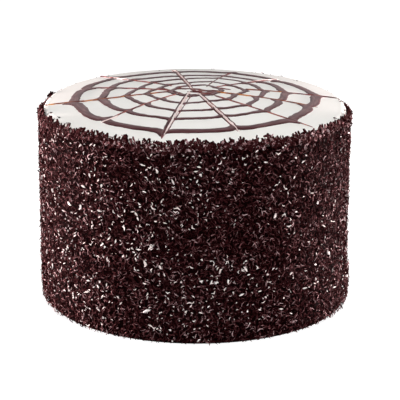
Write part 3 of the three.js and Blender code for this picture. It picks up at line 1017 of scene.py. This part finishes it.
def make_rings():
    """Five piped rings of chocolate, each a low rounded band on the dome."""
    rings = []
    for ring, width in enumerate(RING_WIDTHS):
        angle = stations(RING_RADII[ring] * MM)
        segments = {"major_segments": len(angle), "minor_segments": len(BAND_ACROSS) + 1}
        piece, _ = basic(bpy.ops.mesh.primitive_torus_add, **segments)
        middle = ring_radius(ring, angle)
        swell = 1 - RING_SWELL[ring] * np.cos(2 * turn_from(angle, SWELL_FROM))
        uneven = noise_at(spots(angle, 1, ring) * middle[:, None] / PIPED_GRAIN)
        half = width / 2 * MM * swell * (1 + RING_BREAK[ring] * uneven)
        inner = middle - half + drawn_edge(angle, middle, ring, IN)
        outer = middle + half + drawn_edge(angle, middle, ring, OUT)
        radius = inner[:, None] + (outer - inner)[:, None] * BAND_ACROSS
        height = dome_height(radius) + BAND_RISE * WEB_HEIGHT
        under = ((inner + outer) / 2)[:, None]
        radius = np.concatenate([radius, under], 1)
        height = np.concatenate([height, dome_height(under) - BAND_ROOT], 1)
        move_points(piece.data, spots(angle[:, None], radius, height).reshape(-1, 3))
        # painted sheen: 1 at the cake's left and right sides, 0 in front and at the back
        lay_band_map(piece.data, [*BAND_ACROSS, 0.5], np.cos(angle) ** 2)
        finer = piece.modifiers.new("finer", "SUBSURF")
        finer.levels = finer.render_levels = 1
        bpy.ops.object.modifier_apply(modifier=finer.name)
        ragged_edges(piece.data)
        rings.append(piece)
    web = joined_up(rings, "web_rings")
    finish(web, banded_chocolate(), "piped_chocolate", "cream_top")


def trail(places, widths, rise):
    """One drawn line: a low rounded band on the dome, through three places, pointed at its end."""
    piece = stick(8, TRAIL_STEPS, "TRIFAN")
    points = points_of(piece.data)
    along = points[:, 0] + 0.5
    part = along[:, None]
    first, middle, last = np.reshape(places, (3, 2))
    pull = 2 * middle - (first + last) / 2
    spine = first * (1 - part) ** 2 + 2 * pull * part * (1 - part) + last * part**2
    way = (pull - first) * (1 - part) + (last - pull) * part
    way /= np.linalg.norm(way, axis=1)[:, None]
    uneven = noise_at(np.pad(spine / TRAIL_GRAIN, ((0, 0), (0, 1))))
    ends = np.clip((1 - along) / TRAIL_POINT, 0, 1) ** 0.7
    ends *= np.clip(along / TRAIL_START + 0.3, 0, 1)
    half = np.interp(along, (0, 1), widths) * ends * (1 + TRAIL_UNEVEN * uneven)
    sideways = points[:, 1] * half + TRAIL_WAVER * uneven
    spine = spine + sideways[:, None] * np.stack([-way[:, 1], way[:, 0]], 1)
    lifted = np.maximum(points[:, 2] * 2, -0.5) * (0.3 + 0.7 * ends)
    points[:, :2] = spine * MM
    points[:, 2] = dome_height(polar(points)[1]) + rise * MM * lifted
    move_points(piece.data, points)
    return piece


def joined_up(pieces, name):
    """Joins modelled pieces into one, with their faces pointing out."""
    deselect()
    for piece in pieces:
        piece.select_set(True)
    bpy.context.view_layer.objects.active = pieces[0]
    bpy.ops.object.join()
    whole = take(name)
    bpy.ops.object.mode_set(mode="EDIT")
    bpy.ops.mesh.select_all(action="SELECT")
    bpy.ops.mesh.normals_make_consistent(inside=False)
    bpy.ops.object.mode_set(mode="OBJECT")
    return whole


def make_lines():
    """What the drawn point left: brown and amber smears, dark edges, and pale ridges of cream."""
    smear = [(0.38, "#4a1a1b"), (0.52, "#76393a"), (0.66, "#a3675e")]
    amber = [(0.38, "#571f1a"), (0.52, "#8f4c2a"), (0.68, "#c98740")]
    dark = [(0.38, "#3a1216"), (0.52, "#562a2d"), (0.66, "#7c5050")]
    thin = piped_chocolate("chocolate glaze, drawn thin", smear, 0.4)
    film = piped_chocolate("chocolate glaze, a film", amber, 0.4)
    thick = piped_chocolate("chocolate glaze, drawn along", dark, 0.36)
    cream = set_cream("cream, drawn up", "#f6e7e4", "#e2c8c3", 6 * MM, 0.4)
    # Each kind, and how high in mm it stands.
    looks = [
        (SMEAR, "piped_chocolate", thin, 0.75),
        (AMBER, "piped_chocolate", film, 0.8),
        (DARK, "piped_chocolate", thick, 0.9),
        (RIDGE, "white_cream", cream, 0.95),
    ]
    for kind, slot, material, rise in looks:
        trails = [
            trail(places, (start, end), rise)
            for *places, start, end, found in TRAILS
            if found == kind
        ]
        finish(joined_up(trails, f"web_{kind}"), material, slot, "cream_top")


def make_hub():
    """The innermost ring, pulled to pieces where all the lines meet."""
    lumps = np.random.default_rng(77)
    strokes = []
    for *ends, width in HUB_STROKES:
        stroke, points = basic(bpy.ops.mesh.primitive_ico_sphere_add, subdivisions=3, radius=0.5)
        shift = lumps.uniform(0, 90, 3)
        rough = 1 + HUB_ROUGH * noise_at(points * HUB_GRAIN + shift)
        first, last = np.reshape(ends, (2, 2))
        way = last - first
        length = np.linalg.norm(way)
        points *= rough[:, None] * [length * HUB_OVERLAP, width, 2 * WEB_HEIGHT / MM]
        points[:, 1] += HUB_BEND * width * np.sin(points[:, 0] / HUB_WAVE + shift[0])
        laid = (points[:, :1] * way + points[:, 1:2] * [-way[1], way[0]]) / length
        points[:, :2] = (laid + (first + last) / 2) * MM
        points[:, 2] = points[:, 2] * MM + dome_height(polar(points)[1])
        move_points(stroke.data, points)
        strokes.append(stroke)
    tones = [(0.35, "#401013"), (0.5, "#5a2122"), (0.68, "#85504a")]
    glaze = piped_chocolate("chocolate glaze, at the middle", tones, 0.36)
    finish(joined_up(strokes, "web_hub"), glaze, "piped_chocolate", "cream_top")


# ---- Stage ----
SWEEP_GLOW = 0.8  # so that the sweep looks white to the camera, whatever light falls on it


def make_stage():
    """The white sweep that the cake stands on."""
    floor, _ = basic(bpy.ops.mesh.primitive_plane_add, "floor", size=40)
    inputs = {"Roughness": 0.9, "Base Color": srgb("#b4b4b4"), "Emission Color": srgb("#ffffff")}
    material, shader = new_material("white sweep", inputs)
    seen = add_node(material, "LightPath").outputs["Is Camera Ray"]
    glow = add_node(material, "Math", {0: seen, 1: SWEEP_GLOW}, operation="MULTIPLY")
    feed(shader, {"Emission Strength": glow})
    floor.data.materials.append(material)


# ---- Light ----
BACKDROP_LIGHT = 0.06  # what the white backdrop gives, which is 1 where the camera sees it
# Softboxes: name, place, aim, width and height in metres, power in watts, and colour. Two low
# ones graze the cake's sides.
LIGHTS = [
    ("overhead", (0.18, -0.55, 1.5), (0, 0, 0.1), (1.2, 1.2), 21.8, "#ffffff"),
    ("left", (-1.4, 0.4, 0.045), (0, 0, 0.07), (0.5, 0.07), 88, "#ffe9e6"),
    ("right", (1.4, 0.62, 0.045), (0, 0, 0.07), (0.5, 0.07), 86, "#ffedeb"),
    ("behind", (0, 2.2, 0.85), (0, 0, 0.15), (2.6, 0.7), 5, "#ffffff"),
    ("front", (-0.4, -1.8, 0.85), (0, 0, 0.08), (0.8, 0.8), 11, "#ffffff"),
]


def make_lights():
    """The studio's white backdrop, and the softboxes, each facing its point."""
    world = bpy.data.worlds.new("studio")
    bpy.context.scene.world = world
    world.use_nodes = True
    backdrop = world.node_tree.nodes["Background"]
    seen = add_node(world, "LightPath").outputs["Is Camera Ray"]
    strength = add_node(world, "MapRange", {"Value": seen, "To Min": BACKDROP_LIGHT, "To Max": 1.0})
    feed(backdrop, {"Color": (1, 1, 1, 1), "Strength": strength})
    for name, place, aim, size, power, code in LIGHTS:
        deselect()
        bpy.ops.object.light_add(type="AREA", location=place)
        lamp = bpy.context.object
        lamp.name = name
        lamp.data.shape = "RECTANGLE"
        lamp.data.size, lamp.data.size_y = size
        lamp.data.energy = power
        lamp.data.color = srgb(code)[:3]
        lamp.rotation_euler = (Vector(aim) - Vector(place)).to_track_quat("-Z", "Y").to_euler()


# ---- Camera ----
CAMERA_BACK = 1.3215  # metres from the cake's axis
CAMERA_HEIGHT = 0.4855
CAMERA_PITCH = 17.483  # degrees down
CAMERA_YAW = 0.18
CAMERA_ROLL = 0.45
CAMERA_LENS = 171.56  # mm
CAMERA_SENSOR = 36


def make_camera():
    """The camera: a long lens, in front of the cake and a little above it."""
    data = bpy.data.cameras.new("camera")
    data.lens = CAMERA_LENS
    data.sensor_width = CAMERA_SENSOR
    camera = bpy.data.objects.new("camera", data)
    camera.location = (0, -CAMERA_BACK, CAMERA_HEIGHT)
    aim = Euler((math.radians(90 - CAMERA_PITCH), 0, math.radians(-CAMERA_YAW))).to_matrix()
    roll = Matrix.Rotation(math.radians(CAMERA_ROLL), 3, "Z")
    camera.rotation_euler = (aim @ roll).to_euler()
    bpy.context.scene.collection.objects.link(camera)
    bpy.context.scene.camera = camera
    bpy.context.scene.view_settings.view_transform = "Standard"


make_camera()
make_coat()
make_cap()
make_rings()
make_lines()
make_hub()
make_stage()
make_lights()
